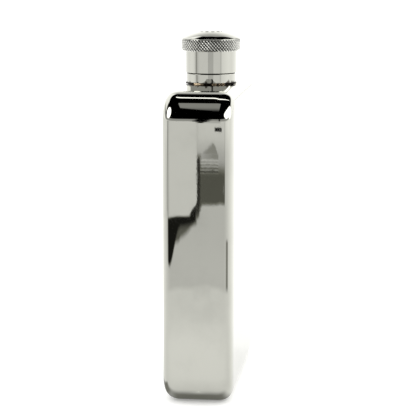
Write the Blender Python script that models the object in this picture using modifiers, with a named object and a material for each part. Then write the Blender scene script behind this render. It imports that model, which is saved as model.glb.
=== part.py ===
"""A hip flask with a helical screw cap, modelled as its separate pieces.

Metres, +Z up. The origin is the middle of the base. The broad faces look
along Y, and the neck stands on the Z axis.
"""

import math

import bmesh
import bpy

MM = 0.001
GAP = 0.3 * MM

# Body: two drawn half shells that meet on the plane y = 0.
BODY_WIDTH = 95 * MM
BODY_DEPTH = 27 * MM
BODY_HEIGHT = 119 * MM
WALL = 0.6 * MM
CORNER_RADIUS = 11 * MM
CORNER_STEPS = 7
FLAT_HALF_DEPTH = 6 * MM
EDGE_INSET = 9 * MM
EDGE_POWER = 3
EDGE_STEPS = 7

# Neck: a threaded spout through the shoulder, a collar on it, and a ring
# under it. Heights here and below are above the shoulder.
SPOUT_BORE = 6.0 * MM
SPOUT_CORE = 7.4 * MM
SPOUT_TAIL = -3.4 * MM
LIP_HEIGHT = 13.7 * MM
LIP_BEVEL = 0.6 * MM
SHOULDER_HOLE = SPOUT_CORE + GAP
COLLAR_RADIUS = 9.7 * MM
COLLAR_BOTTOM = GAP
COLLAR_TOP = 3.9 * MM
COLLAR_BEVEL = 0.25 * MM
BACKING_RADIUS = 9.3 * MM
BACKING_TOP = -1.25 * MM
BACKING_BOTTOM = -2.45 * MM
FILLET_RADIUS = 0.9 * MM

# Thread: one start, right-handed. The cap's ridge starts at the same height as
# the spout's and half a turn round from it, so it runs midway between its turns.
LEAD = 3.0 * MM
CREST_WIDTH = 0.9 * MM
ROOT_WIDTH = 1.7 * MM
THREAD_DEPTH = 0.7 * MM
ROOT_BURIED = 0.25 * MM
FADE_TURNS = 0.25
THREAD_STEPS = 36
THREAD_START = 6.1 * MM
SPOUT_THREAD_TURNS = 1.75
CAP_THREAD_ROOT = 8.35 * MM
CAP_THREAD_OFFSET_TURNS = 0.5
CAP_THREAD_TURNS = 2.0

# Cap: a skirt, a knurled rim around its top, a domed crown, and a threaded
# insert that holds the seal.
SKIRT_OUTER = 10.0 * MM
SKIRT_INNER = 9.4 * MM
SKIRT_BOTTOM = 4.35 * MM
SKIRT_TOP = 16.9 * MM
RIM_INNER = SKIRT_OUTER + GAP
RIM_CREST = 11.65 * MM
RIM_BOTTOM = 12.9 * MM
RIM_TOP = 17.2 * MM
RIM_SHOULDER = 11.0 * MM
RIM_BARREL = 0.25 * MM
KNURL_COUNT = 72
KNURL_ROWS = 6
KNURL_DEPTH = 0.3 * MM
KNURL_BOTTOM = 13.4 * MM
KNURL_TOP = 16.8 * MM
CROWN_RADIUS = 11.45 * MM
CROWN_BOTTOM = RIM_TOP + GAP
CROWN_TOP = 20.75 * MM
CROWN_SPHERE = 23.8 * MM
CROWN_EDGE_RADIUS = 0.45 * MM
CROWN_SPIGOT_RADIUS = 9.1 * MM
STAMP_RADIUS = 4.2 * MM
STAMP_WIDTH = 0.5 * MM
STAMP_DEPTH = 0.15 * MM
INSERT_OUTER = 9.1 * MM
INSERT_BOTTOM = 4.8 * MM
INSERT_ROOF = 16.1 * MM
INSERT_TOP = 16.7 * MM
SEAL_RADIUS = 8.05 * MM
SEAL_BOTTOM = LIP_HEIGHT + GAP
SEAL_TOP = 15.1 * MM
WASHER_TOP = 15.8 * MM
WASHER_HOLE = 2.5 * MM

LATHE_STEPS = 40


def clear_scene():
    """Removes every object, so that the script always starts from nothing."""
    for item in list(bpy.data.objects):
        bpy.data.objects.remove(item, do_unlink=True)


def new_collection(name):
    """A collection linked to the scene."""
    collection = bpy.data.collections.new(name)
    bpy.context.scene.collection.children.link(collection)
    return collection


def metal(name, colour, roughness, metallic=1.0):
    """A Principled material."""
    material = bpy.data.materials.new(name)
    material.use_nodes = True
    shader = material.node_tree.nodes["Principled BSDF"]
    shader.inputs["Base Color"].default_value = (*colour, 1.0)
    shader.inputs["Roughness"].default_value = roughness
    shader.inputs["Metallic"].default_value = metallic
    return material


def add_object(name, mesh, collection, material=None):
    """An object for a mesh, in a collection and with a material."""
    item = bpy.data.objects.new(name, mesh)
    collection.objects.link(item)
    if material:
        mesh.materials.append(material)
    return item


def shade(mesh):
    """Smooth shading, with the edges over 35 degrees kept sharp."""
    mesh.shade_smooth()
    mesh.set_sharp_from_angle(angle=math.radians(35))


def lathe(name, profile, collection, material=None, steps=LATHE_STEPS, closed=True):
    """A turned piece. Its profile is (radius, height) pairs that run down the
    outer side, and a closed one comes back up the inner side."""
    mesh = bpy.data.meshes.new(name)
    count = len(profile)
    edges = [(i, (i + 1) % count) for i in range(count if closed else count - 1)]
    mesh.from_pydata([(r, 0.0, z) for r, z in profile], edges, [])
    turned = add_object(name, mesh, collection)
    screw = turned.modifiers.new("Turn", "SCREW")
    screw.steps = steps
    screw.render_steps = steps
    screw.use_merge_vertices = True
    screw.merge_threshold = 0.00001
    bpy.context.view_layer.update()
    graph = bpy.context.evaluated_depsgraph_get()
    solid = bpy.data.meshes.new_from_object(turned.evaluated_get(graph))
    bpy.data.objects.remove(turned, do_unlink=True)
    bpy.data.meshes.remove(mesh)
    solid.name = name
    shade(solid)
    return add_object(name, solid, collection, material)


def join_solid(item, other, operation):
    """An exact boolean of an object with a hidden helper object."""
    other.hide_render = True
    other.display_type = "WIRE"
    boolean = item.modifiers.new(other.name, "BOOLEAN")
    boolean.operation = operation
    boolean.object = other
    boolean.solver = "EXACT"


def raised(profile, height):
    """A profile moved up by a height."""
    return [(r, z + height) for r, z in profile]


def body_outline(inset):
    """The body's outline seen from the front, drawn in by an inset."""
    radius = CORNER_RADIUS - inset
    right = BODY_WIDTH / 2 - CORNER_RADIUS
    centres = [
        (right, CORNER_RADIUS),
        (right, BODY_HEIGHT - CORNER_RADIUS),
        (-right, BODY_HEIGHT - CORNER_RADIUS),
        (-right, CORNER_RADIUS),
    ]
    points = []
    for corner, (x, z) in enumerate(centres):
        for step in range(CORNER_STEPS + 1):
            angle = math.pi / 2 * (corner - 1 + step / CORNER_STEPS)
            points.append((x + radius * math.cos(angle), z + radius * math.sin(angle)))
    return points


def body_sections():
    """(depth, inset) pairs from the seam to the broad face: a flat band, and
    then a soft edge that is part of a superellipse."""
    edge_depth = BODY_DEPTH / 2 - FLAT_HALF_DEPTH
    sections = [(GAP / 2, 0.0)]
    for step in range(EDGE_STEPS + 1):
        angle = math.pi / 2 * step / EDGE_STEPS
        across = math.sin(angle) ** (2 / EDGE_POWER)
        inset = 1 - math.cos(angle) ** (2 / EDGE_POWER)
        sections.append((FLAT_HALF_DEPTH + edge_depth * across, EDGE_INSET * inset))
    return sections


def half_shell(name, side, collection, material, hole):
    """One drawn half of the body, on the side of y that side's sign gives."""
    form = bmesh.new()
    rings = []
    for depth, inset in body_sections():
        outline = body_outline(inset)
        rings.append([form.verts.new((x, side * depth, z)) for x, z in outline])
    count = len(rings[0])
    for near, far in zip(rings, rings[1:]):
        for i in range(count):
            j = (i + 1) % count
            corners = [near[i], near[j], far[j], far[i]]
            form.faces.new(corners if side < 0 else corners[::-1])
    form.faces.new(rings[-1] if side < 0 else rings[-1][::-1])
    mesh = bpy.data.meshes.new(name)
    form.to_mesh(mesh)
    form.free()
    shade(mesh)
    shell = add_object(name, mesh, collection, material)
    solidify = shell.modifiers.new("Sheet", "SOLIDIFY")
    solidify.thickness = WALL
    solidify.offset = -1
    solidify.use_even_offset = True
    join_solid(shell, hole, "DIFFERENCE")
    return shell


def shoulder_hole(cutters):
    """The cutter for the round hole that the spout passes through."""
    profile = [(0, 4 * MM), (SHOULDER_HOLE, 4 * MM), (SHOULDER_HOLE, -4 * MM), (0, -4 * MM)]
    return lathe("shoulder_hole", raised(profile, BODY_HEIGHT), cutters, closed=False)


def thread_ridge(name, wall, outward, start_turn, turns, cutters):
    """A helical ridge on a wall of a given radius. It stands out from the wall
    if outward is 1 and into the bore if it is -1, and fades out at both ends."""
    form = bmesh.new()
    count = round(turns * THREAD_STEPS)
    rings = []
    for step in range(count + 1):
        turn = step / THREAD_STEPS
        grown = min(1.0, turn / FADE_TURNS, (turns - turn) / FADE_TURNS)
        crest = THREAD_DEPTH * grown - ROOT_BURIED / 2 * (1 - grown)
        angle = math.tau * (turn + start_turn)
        height = BODY_HEIGHT + THREAD_START + LEAD * turn
        widening = (ROOT_WIDTH - CREST_WIDTH) / THREAD_DEPTH * ROOT_BURIED
        corners = [
            (-ROOT_BURIED, -(ROOT_WIDTH + widening) / 2),
            (crest, -CREST_WIDTH / 2),
            (crest, CREST_WIDTH / 2),
            (-ROOT_BURIED, (ROOT_WIDTH + widening) / 2),
        ]
        ring = []
        for out, up in corners:
            radius = wall + outward * out
            point = (radius * math.cos(angle), radius * math.sin(angle), height + up)
            ring.append(form.verts.new(point))
        rings.append(ring)
    for ring, following in zip(rings, rings[1:]):
        for i in range(4):
            j = (i + 1) % 4
            form.faces.new([ring[i], ring[j], following[j], following[i]])
    form.faces.new(rings[0][::-1])
    form.faces.new(rings[-1])
    bmesh.ops.recalc_face_normals(form, faces=form.faces)
    mesh = bpy.data.meshes.new(name)
    form.to_mesh(mesh)
    form.free()
    return add_object(name, mesh, cutters)


def spout(collection, cutters, material):
    """The threaded spout, from its tail under the shoulder to its lip."""
    profile = [
        (SPOUT_CORE - LIP_BEVEL, LIP_HEIGHT),
        (SPOUT_CORE, LIP_HEIGHT - LIP_BEVEL),
        (SPOUT_CORE, SPOUT_TAIL),
        (SPOUT_BORE, SPOUT_TAIL),
        (SPOUT_BORE, LIP_HEIGHT - LIP_BEVEL / 2),
        (SPOUT_BORE + LIP_BEVEL / 2, LIP_HEIGHT),
    ]
    piece = lathe("spout", raised(profile, BODY_HEIGHT), collection, material)
    ridge = thread_ridge("spout_thread", SPOUT_CORE, 1, 0.0, SPOUT_THREAD_TURNS, cutters)
    join_solid(piece, ridge, "UNION")


def collar(collection, material):
    """The plain ring on the shoulder that the cap closes down to."""
    profile = [
        (COLLAR_RADIUS - COLLAR_BEVEL, COLLAR_TOP),
        (COLLAR_RADIUS, COLLAR_TOP - COLLAR_BEVEL),
        (COLLAR_RADIUS, COLLAR_BOTTOM),
        (SHOULDER_HOLE, COLLAR_BOTTOM),
        (SHOULDER_HOLE, COLLAR_TOP),
    ]
    lathe("collar", raised(profile, BODY_HEIGHT), collection, material)


def braze_fillet(collection, material):
    """The small concave bead of braze around the collar's foot."""
    inner = COLLAR_RADIUS + GAP
    steps = 4
    profile = []
    for step in range(steps + 1):
        angle = math.pi / 2 * step / steps
        radius = inner + FILLET_RADIUS * (1 - math.cos(angle))
        height = COLLAR_BOTTOM + FILLET_RADIUS * (1 - math.sin(angle))
        profile.append((radius + 0.1 * MM, height + 0.1 * MM))
    profile.append((profile[-1][0], COLLAR_BOTTOM))
    profile.append((inner, COLLAR_BOTTOM))
    profile.append((inner, profile[0][1]))
    lathe("braze_fillet", raised(profile, BODY_HEIGHT), collection, material)


def backing_ring(collection, material):
    """The ring inside the shoulder that stiffens the sheet around the spout."""
    profile = [
        (BACKING_RADIUS, BACKING_TOP),
        (BACKING_RADIUS, BACKING_BOTTOM),
        (SHOULDER_HOLE, BACKING_BOTTOM),
        (SHOULDER_HOLE, BACKING_TOP),
    ]
    lathe("neck_backing_ring", raised(profile, BODY_HEIGHT), collection, material)


def cap_skirt(collection, material):
    """The plain sleeve, with a hem at its foot, that carries the rim."""
    hem = 0.15 * MM
    profile = [
        (SKIRT_OUTER, SKIRT_TOP),
        (SKIRT_OUTER, SKIRT_BOTTOM + hem),
        (SKIRT_OUTER - hem, SKIRT_BOTTOM),
        (SKIRT_INNER + hem, SKIRT_BOTTOM),
        (SKIRT_INNER, SKIRT_BOTTOM + hem),
        (SKIRT_INNER, SKIRT_TOP),
    ]
    lathe("cap_skirt", raised(profile, BODY_HEIGHT), collection, material)


def knurl_radius(height):
    """The crest radius of the knurled band, which is slightly barrelled."""
    middle = (KNURL_TOP + KNURL_BOTTOM) / 2
    share = (height - middle) / ((KNURL_TOP - KNURL_BOTTOM) / 2)
    return RIM_CREST - RIM_BARREL * share**2


def cut_knurl(mesh):
    """Sinks every other point of the band, and creases the faces between the
    sunk points, which leaves crossed grooves around raised diamonds."""
    form = bmesh.new()
    form.from_mesh(mesh)
    spacing = (KNURL_TOP - KNURL_BOTTOM) / (KNURL_ROWS - 1)
    sunk = set()
    for vertex in form.verts:
        radius = math.hypot(vertex.co.x, vertex.co.y)
        row = round((vertex.co.z - BODY_HEIGHT - KNURL_BOTTOM) / spacing)
        if radius < RIM_SHOULDER + 0.1 * MM or not 0 <= row < KNURL_ROWS:
            continue
        turn = math.atan2(vertex.co.y, vertex.co.x) / math.tau
        column = round(turn * 2 * KNURL_COUNT)
        if (column + row) % 2:
            scale = (radius - KNURL_DEPTH) / radius
            vertex.co.x *= scale
            vertex.co.y *= scale
            sunk.add(vertex)
    for face in list(form.faces):
        low = [vertex for vertex in face.verts if vertex in sunk]
        if len(low) == 2 and len(face.verts) == 4:
            bmesh.utils.face_split(face, low[0], low[1])
    form.to_mesh(mesh)
    form.free()


def knurled_rim(collection, material):
    """The grip band around the top of the skirt."""
    profile = [(RIM_SHOULDER, RIM_TOP)]
    for row in reversed(range(KNURL_ROWS)):
        height = KNURL_BOTTOM + (KNURL_TOP - KNURL_BOTTOM) * row / (KNURL_ROWS - 1)
        profile.append((knurl_radius(height), height))
    profile.append((RIM_SHOULDER, RIM_BOTTOM))
    profile.append((RIM_INNER, RIM_BOTTOM))
    profile.append((RIM_INNER, RIM_TOP))
    steps = 2 * KNURL_COUNT
    rim = lathe("knurled_rim", raised(profile, BODY_HEIGHT), collection, material, steps)
    cut_knurl(rim.data)
    rim.data.shade_flat()


def crown_height(radius):
    """The height of the crown's domed face at a radius."""
    drop = CROWN_SPHERE - math.sqrt(CROWN_SPHERE**2 - radius**2)
    return CROWN_TOP - drop


def cap_crown(collection, material):
    """The domed top, with one plain stamped ring in it and a spigot below."""
    dome_edge = CROWN_RADIUS - CROWN_EDGE_RADIUS
    profile = [(0, CROWN_TOP)]
    groove = [
        (STAMP_RADIUS - STAMP_WIDTH / 2, 0),
        (STAMP_RADIUS, STAMP_DEPTH),
        (STAMP_RADIUS + STAMP_WIDTH / 2, 0),
    ]
    profile.append((STAMP_RADIUS / 2, crown_height(STAMP_RADIUS / 2)))
    for radius, depth in groove:
        profile.append((radius, crown_height(radius) - depth))
    dome_steps = 4
    start = STAMP_RADIUS + STAMP_WIDTH / 2
    for step in range(1, dome_steps + 1):
        radius = start + (dome_edge - start) * step / dome_steps
        profile.append((radius, crown_height(radius)))
    edge_height = crown_height(dome_edge)
    for angle in (45, 80):
        turned = math.radians(angle)
        radius = dome_edge + CROWN_EDGE_RADIUS * math.sin(turned)
        height = edge_height - CROWN_EDGE_RADIUS * (1 - math.cos(turned))
        profile.append((radius, height))
    profile.append((CROWN_RADIUS, CROWN_BOTTOM))
    profile.append((CROWN_SPIGOT_RADIUS, CROWN_BOTTOM))
    profile.append((CROWN_SPIGOT_RADIUS, INSERT_TOP + GAP))
    profile.append((0, INSERT_TOP + GAP))
    lathe("cap_crown", raised(profile, BODY_HEIGHT), collection, material, closed=False)


def thread_insert(collection, cutters, material):
    """The closed cup inside the cap that carries the female thread."""
    profile = [
        (0, INSERT_TOP),
        (INSERT_OUTER, INSERT_TOP),
        (INSERT_OUTER, INSERT_BOTTOM),
        (CAP_THREAD_ROOT, INSERT_BOTTOM),
        (CAP_THREAD_ROOT, INSERT_ROOF),
        (0, INSERT_ROOF),
    ]
    insert = lathe(
        "thread_insert", raised(profile, BODY_HEIGHT), collection, material, closed=False
    )
    ridge = thread_ridge(
        "cap_thread",
        CAP_THREAD_ROOT,
        -1,
        CAP_THREAD_OFFSET_TURNS,
        CAP_THREAD_TURNS,
        cutters,
    )
    join_solid(insert, ridge, "UNION")


def seal_disc(collection, material):
    """The soft disc that closes on the spout's lip."""
    profile = [
        (0, SEAL_TOP),
        (SEAL_RADIUS, SEAL_TOP),
        (SEAL_RADIUS, SEAL_BOTTOM),
        (0, SEAL_BOTTOM),
    ]
    lathe("seal_disc", raised(profile, BODY_HEIGHT), collection, material, closed=False)


def seal_washer(collection, material):
    """The stiff slip washer between the seal and the insert's roof."""
    profile = [
        (SEAL_RADIUS, WASHER_TOP),
        (SEAL_RADIUS, SEAL_TOP + GAP),
        (WASHER_HOLE, SEAL_TOP + GAP),
        (WASHER_HOLE, WASHER_TOP),
    ]
    lathe("seal_washer", raised(profile, BODY_HEIGHT), collection, material)


def main():
    clear_scene()
    parts = new_collection("hip_flask")
    cutters = new_collection("cutters")

    hole = shoulder_hole(cutters)
    half_shell("front_shell", -1, parts, metal("front_shell", (0.64, 0.64, 0.60), 0.05), hole)
    half_shell("rear_shell", 1, parts, metal("rear_shell", (0.64, 0.64, 0.60), 0.05), hole)

    spout(parts, cutters, metal("spout", (0.60, 0.60, 0.57), 0.22))
    collar(parts, metal("collar", (0.62, 0.62, 0.58), 0.08))
    braze_fillet(parts, metal("braze_fillet", (0.42, 0.30, 0.16), 0.35))
    backing_ring(parts, metal("neck_backing_ring", (0.55, 0.55, 0.53), 0.35))

    cap_skirt(parts, metal("cap_skirt", (0.64, 0.64, 0.60), 0.06))
    knurled_rim(parts, metal("knurled_rim", (0.62, 0.62, 0.58), 0.12))
    cap_crown(parts, metal("cap_crown", (0.64, 0.64, 0.60), 0.05))
    thread_insert(parts, cutters, metal("thread_insert", (0.60, 0.60, 0.57), 0.25))
    seal_disc(parts, metal("seal_disc", (0.55, 0.50, 0.42), 0.7, metallic=0.0))
    seal_washer(parts, metal("seal_washer", (0.70, 0.70, 0.68), 0.4, metallic=0.0))


main()
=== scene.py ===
"""The finished look of a polished hip flask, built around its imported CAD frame.

Lengths are in metres and come from the frame's boxes where the frame has them.
The narrow side at -X faces the camera. Heights given "above the shoulder" are
measured from the flat top of the body, which the functions call base.
"""

import math

import bpy
import mathutils
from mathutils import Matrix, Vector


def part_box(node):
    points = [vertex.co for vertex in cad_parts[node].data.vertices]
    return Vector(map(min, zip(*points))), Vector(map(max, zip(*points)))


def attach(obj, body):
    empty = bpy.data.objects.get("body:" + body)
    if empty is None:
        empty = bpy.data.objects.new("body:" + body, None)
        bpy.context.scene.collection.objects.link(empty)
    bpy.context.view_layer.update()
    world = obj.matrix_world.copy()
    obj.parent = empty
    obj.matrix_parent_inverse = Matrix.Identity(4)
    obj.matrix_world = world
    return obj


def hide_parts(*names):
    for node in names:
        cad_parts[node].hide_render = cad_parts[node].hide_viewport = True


MM = 0.001

# The body's outline and soft edge, as in the CAD part.
CORNER_RADIUS = 11 * MM
FLAT_HALF_DEPTH = 6 * MM
EDGE_INSET = 9 * MM
EDGE_POWER = 3
BODY_WALL = 0.6 * MM
CORNER_STEPS = 40
EDGE_STEPS = 44
NECK_OPENING_HALF = 7 * MM

# The thread, as in the CAD part. A ridge's flank is given as shares of its
# depth and of its root's half width.
LEAD = 3.0 * MM
ROOT_WIDTH = 1.7 * MM
THREAD_DEPTH = 0.7 * MM
THREAD_START = 6.1 * MM
FADE_TURNS = 0.25
SPOUT_CORE = 7.4 * MM
SPOUT_BORE = 6.0 * MM
SPOUT_THREAD_TURNS = 1.75
CAP_THREAD_ROOT = 8.35 * MM
CAP_THREAD_OFFSET_TURNS = 0.5
CAP_THREAD_TURNS = 2.0
RIDGE_STEPS = 72
RIDGE_BURIED = 0.2 * MM
RIDGE_FOOT_SHARE = 1.25
RIDGE_FLANK = ((0.0, 1.0), (0.86, 0.62), (0.97, 0.5), (1.0, 0.36))
RIDGE_END_SUNK = 0.03 * MM
RIDGE_SHARP_ANGLE = math.radians(50)

# Turned pieces.
TURNED_STEPS = 192
TURNED_SHARP_ANGLE = math.radians(40)
ON_AXIS = 1e-7

# Roundings run from a tube's outer top edge, by its bottom, to its inner top edge.

# The spout, and the heights above the shoulder between which the darkening at its foot ends.
SPOUT_ROUNDINGS = (0.5 * MM, 0.1 * MM, 0.1 * MM, 0.35 * MM)
SPOUT_FOOT_DARK = (4.8 * MM, 5.8 * MM)

# The collar stands a little higher than its CAD piece. Its rounded top edge is painted dark as
# shade, which makes the line under the cap.
COLLAR_RAISE = 0.3 * MM
COLLAR_ROUNDINGS = (0.4 * MM, 0.0, 0.0, 0.0)
COLLAR_SUNK = 0.05 * MM
COLLAR_STAIN_TOP = 2.6 * MM
COLLAR_GAP_SHADE = (-0.34 * MM, -0.26 * MM)

# The braze bead's (outward from the collar, height, rounding) corners, and how
# its edge wanders.
BEAD_CORNERS = (
    (-0.1 * MM, 0.72 * MM, 0.0),
    (0.12 * MM, 0.52 * MM, 0.10 * MM),
    (0.45 * MM, -0.02 * MM, 0.0),
    (-0.1 * MM, -0.04 * MM, 0.0),
)
BEAD_ARC_STEPS = 4
BEAD_REACH = 0.5 * MM
BEAD_WANDER_OUT = 0.12 * MM
BEAD_WANDER_UP = 0.06 * MM
BEAD_FOOT_HEIGHT = 0.1 * MM
WANDER_PACE = 2.2
WANDER_LIFT = 0.3
WANDER_FINER = 3.1
WANDER_FINER_SHARE = 0.5

# The cap's skirt and threaded insert.
SKIRT_WALL = 0.6 * MM
SKIRT_ROUNDINGS = (0.0, 0.08 * MM, 0.08 * MM, 0.0)
INSERT_ROOF = 0.6 * MM

# The knurled rim: a barrelled band with plain lips. One family of grooves is
# deep, and the other only reaches down to SHALLOW_FLOOR.
RIM_RAISE = 0.25 * MM
RIM_LIP = 0.5 * MM
RIM_PLAIN_ROWS = 2
KNURL_COUNT = 58
KNURL_ANGLE = math.radians(42)
KNURL_DEPTH = 0.36 * MM
KNURL_SAMPLES = 8
KNURL_START = 0.2 * MM
KNURL_STOP = 0.05 * MM
KNURL_VALLEY = 0.15
KNURL_FLANK = 0.35
SHALLOW_FLOOR = 0.5
SHALLOW_SLOPE = 1.3
RUNOUT_SLOPE = 10
RUNOUT_DEPTH = 0.35
BARREL_BELOW = 0.45 * MM
BARREL_ABOVE = 0.15 * MM
BARREL_POWER = 5

# The cap's crown and its ring of stamped dashes.
CROWN_SPHERE = 23.8 * MM
CROWN_EDGE = 0.3 * MM
CROWN_STEPS = 110
CROWN_EDGE_STEPS = 12
CROWN_GAP = 0.3 * MM
SPIGOT_RADIUS = 9.1 * MM
STAMP_RADIUS = 4.2 * MM
STAMP_WIDTH = 0.9 * MM
STAMP_DEPTH = 0.2 * MM
STAMP_COUNT = 11
STAMP_SHARE = 0.3
STAMP_END_SLOPE = 3
STAMP_SIDE_SLOPE = 2.5

# Metal tones, with the knurl's steel painted lighter, the dirt on them, and painted shade in
# grooves and in the gap under the cap.
STEEL = (0.66, 0.66, 0.60)
# The knurl's steel, painted lighter than the body's so its facets mirror brighter.
KNURL_LIT_STEEL = (0.92, 0.92, 0.87)
MACHINED_STEEL = (0.60, 0.60, 0.57)
RING_STEEL = (0.55, 0.55, 0.53)
# The dark of polish residue and painted shade in cut grooves.
RESIDUE_AND_SHADE = (0.012, 0.011, 0.009, 1)
# Painted shade on the collar's top edge, and the dark at the spout's foot.
GAP_DARK = (0.01, 0.009, 0.008, 1)
HEAT_STAIN = (0.05, 0.04, 0.028, 1)
BRASS = (0.78, 0.62, 0.42, 1)
SOOT = (0.02, 0.017, 0.014, 1)
RUBBER_DARK = (0.50, 0.45, 0.36, 1)
RUBBER_PALE = (0.62, 0.58, 0.50, 1)
MIRROR_ROUGHNESS = 0.012
KNURL_ROUGHNESS = 0.1
BODY_WAVE = 0.003 * MM
TURNED_WAVE = 0.0015 * MM

# The camera looks at the narrow side from a little above the cap.
CAMERA_AZIMUTH = math.radians(6.8)
CAMERA_DISTANCE = 647.5 * MM
CAMERA_HEIGHT = 174 * MM
CAMERA_YAW = math.radians(0.11)
CAMERA_PITCH = math.radians(9.24)
CAMERA_LENS = 141.3
CAMERA_SENSOR = 36
CAMERA_CLIP_END = 20

# From here on a range is (from, to) or (from, to, value before, value after),
# a strip is (from, to, softness), and a level is a mirrored brightness.

# The studio that the metal mirrors, in degrees around and above the horizon.
# Azimuth is 0 at -X, towards the camera, and turns to +Y, the camera's left.
# A softbox is its middle (turn, rise), its half size (turn, rise) and its lean.
DAYLIGHT = 1.5
STUDIO_TINT = (1, 1, 0.985, 1)
WALL_SHADING = (40.0, 150.0, 0.76, 1.3)
WALL_TOP = (50.0, 130.0, 10.0, 17.0)
WALL_TOP_LEFT = (84.0, 112.0, 0.0, 45.0)
WALL_TOP_EDGE = (-1.0, 1.0, 1.0, 0.0)
DUSK_SIDES = (130.0, 140.0, 1.0, 0.0)
DUSK_FOOT = (1.0, 3.0)
DUSK_END = (14.0, 20.0, 1.0, 0.0)
DUSK_LEVEL = 0.38
DOORWAY = (-16.0, -8.0, 1.0)
DOORWAY_LEVEL = 0.04
CREVICE = (6.85, 7.4, 0.1)
SOFTBOXES = ((64, 26, 20, 18, 0), (-88, 17, 38, 15, 0.8))
SOFTBOX_LEVEL = 2.6
SOFTBOX_CUT_TURN = (-104.0, -96.0)
SOFTBOX_CUT_RISE = (6.5, 8.0, 1.0, 0.0)
OVAL_EDGE = (0.8, 1.2, 1.0, 0.0)
HORIZON_EDGE = (-0.002, 0.0)

# The backdrop behind the flask, by how steeply and how far aside it is seen.
ARCH_LEFT = (0.2, 0.65, 1.18, 0.3)
ARCH_RIGHT = (-0.42, 0.05, 0.3, 1.18)
ARCH_EDGE = (-0.03, 0.03, 1.0, 0.0)
ARCH_BEHIND = (0.0, 0.02)
BACKDROP_GLOW = (0.3, 1.05, 1.3, 0.5)

# The lamp and the window, on a ceiling one unit up.
LAMP_ACROSS = (0.10, 0.20, 0.01)
LAMP_ALONG = (-1.2, 0.27, 0.01)
LAMP_LEAN = -0.75
LAMP_BOW = -0.78
LAMP_BOW_POWER = 1.8
LAMP_LEVEL = 1.9
WINDOW_ALONG = (-0.2, 0.17, 0.004)
WINDOW_NEAR = (-1.2, -0.55)
WINDOW_END = (-0.27, -0.23, 1.0, 0.0)
WINDOW_LEVEL = 0.31

# The floor. A reach is a distance in metres from the foot of the narrow side.
FLOOR_RADIUS = 40.0
FLOOR_SIDES = 128
FLOOR_WHITE = 0.9
FLOOR_GLOW = 0.45
SEEN_GLOW_SHARE = 0.5
WARM_SHADE = (1, 1, 0.86, 1)
WARM_RANGE = (0.1, 0.5)
TABLE_LEVEL = 0.98
TABLE_LOSSES = ((0.09, 0.17, 0.0, 0.13), (0.205, 0.225, 0.0, 0.16), (0.25, 0.42, 0.0, 0.03))
TABLE_FADE = (0.5, 1.0)
TABLE_FADE_LEVEL = 0.90
BESIDE_SHADING = (80.0, 170.0, 0.93, 1.3)
BESIDE_TURN = (40.0, 110.0)
DISTANT_REACH = (0.75, 1.0)
DISTANT_TURN = (95.0, 120.0, 1.0, 0.0)
DISTANT_LEVEL = 1.12

# The table's end on the camera's side. SEAM is where its left half begins.
SEAM = (7.2, 7.35)
AHEAD_TURN = (-53.0, 62.0, 6.0)
END_BEND_SLOPE = -1.25
END_BEND_START = 8.6
END_BEND_REACH = -0.16
END_RIGHT = (-20.0, 6.8, 0.348, 0.34)
END_LEFT = 0.36
END_EDGE = (-0.03, 0.0)
END_LEVEL = 0.14
# The wedge is a shadow painted on the floor, which only the metal mirrors.
WEDGE_SLANT = math.radians(54)
WEDGE_EDGE = (0.268, 0.29)
WEDGE_START = (7.2, 7.4)
WEDGE_STOP = (62.0, 78.0, 1.0, 0.0)
WEDGE_LEVEL = 0.012

# The dim room past the table's end, with bars, a slab and a pointed shadow.
ROOM_NEAR = (0.62, 0.72, 0.12, 0.56)
ROOM_FAR = (0.70, 0.90, 0.0, 0.24)
BARS_PACE = 330.0
BARS_REACH = (0.632, 0.713, 0.005)
BARS_TURN = (-8.0, 7.1, 0.3)
BARS_LEVEL = 0.17
SLAB_REACH = (0.716, 0.75, 0.003)
SLAB_TURN = (-8.0, 6.8, 0.8)
POINT_REACH = (0.75, 0.828, 0.003)
POINT_RIGHT = (-4.5, 6.2)
POINT_RIGHT_EDGE = (-0.3, 0.3)
POINT_LEFT = (6.9, 6.3)
POINT_LEFT_EDGE = (-0.15, 0.15, 1.0, 0.0)
POINT_LEVEL = 0.34
FIGURE_REACH = (1.15, 1.3)
FIGURE_TURN = (-17.5, 7.2, 1.0)
FIGURE_LEVEL = 0.58
SPOT_REACH = (0.915, 0.948, 0.002)
SPOT_TURN = (-27.0, 3.8, 1.5)

# The pale pane to the left of the room, and the dark lines around it.
PANE_CORNER = (0.435, 0.50, 7.9, 7.27)
PANE_SIDE_EDGE = (-0.05, 0.05)
PANE_FOOT = (0.430, 0.444)
PANE_FADE = (45.0, 90.0, 1.0, 0.2)
PANE_LEVEL = 0.80
FRAME_RIGHT = (6.98, 7.12)
FRAME_LEFT = (7.24, 7.30, 1.0, 0.0)
FRAME_REACH = (0.44, 0.74, 0.03)
FRAME_LEVEL = 0.03
GAP_TURN = (6.95, 7.25, 0.1)
GAP_REACH = (1.15, 1.35)
STAND_PLACE = (0.5, 1.1, -77.0, -65.0)
STAND_WIDTH = (-3.0, 3.0, 1.5)
STAND_REACH = (0.43, 0.48)
STAND_LEVEL = 0.36
CABLE_TURN = (-88.0, -66.0, 2.0)
CABLE_REACH = (0.22, 0.36, 0.01)
CABLE_LEVEL = 0.30

# Shade close under the flask's rounded end and beside it, by x and by y.
UNDER_X = (-46 * MM, -34 * MM, 2.5 * MM)
UNDER_Y = (-13 * MM, 12 * MM, 4 * MM)
UNDER_LEVEL = 0.30
SIDE_X_START = (-49 * MM, -43 * MM)
SIDE_X_STOP = (-40 * MM, 30 * MM, 1.0, 0.0)
SIDE_Y = (12 * MM, 29 * MM, 4 * MM)
SIDE_LEVEL = 0.28


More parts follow.
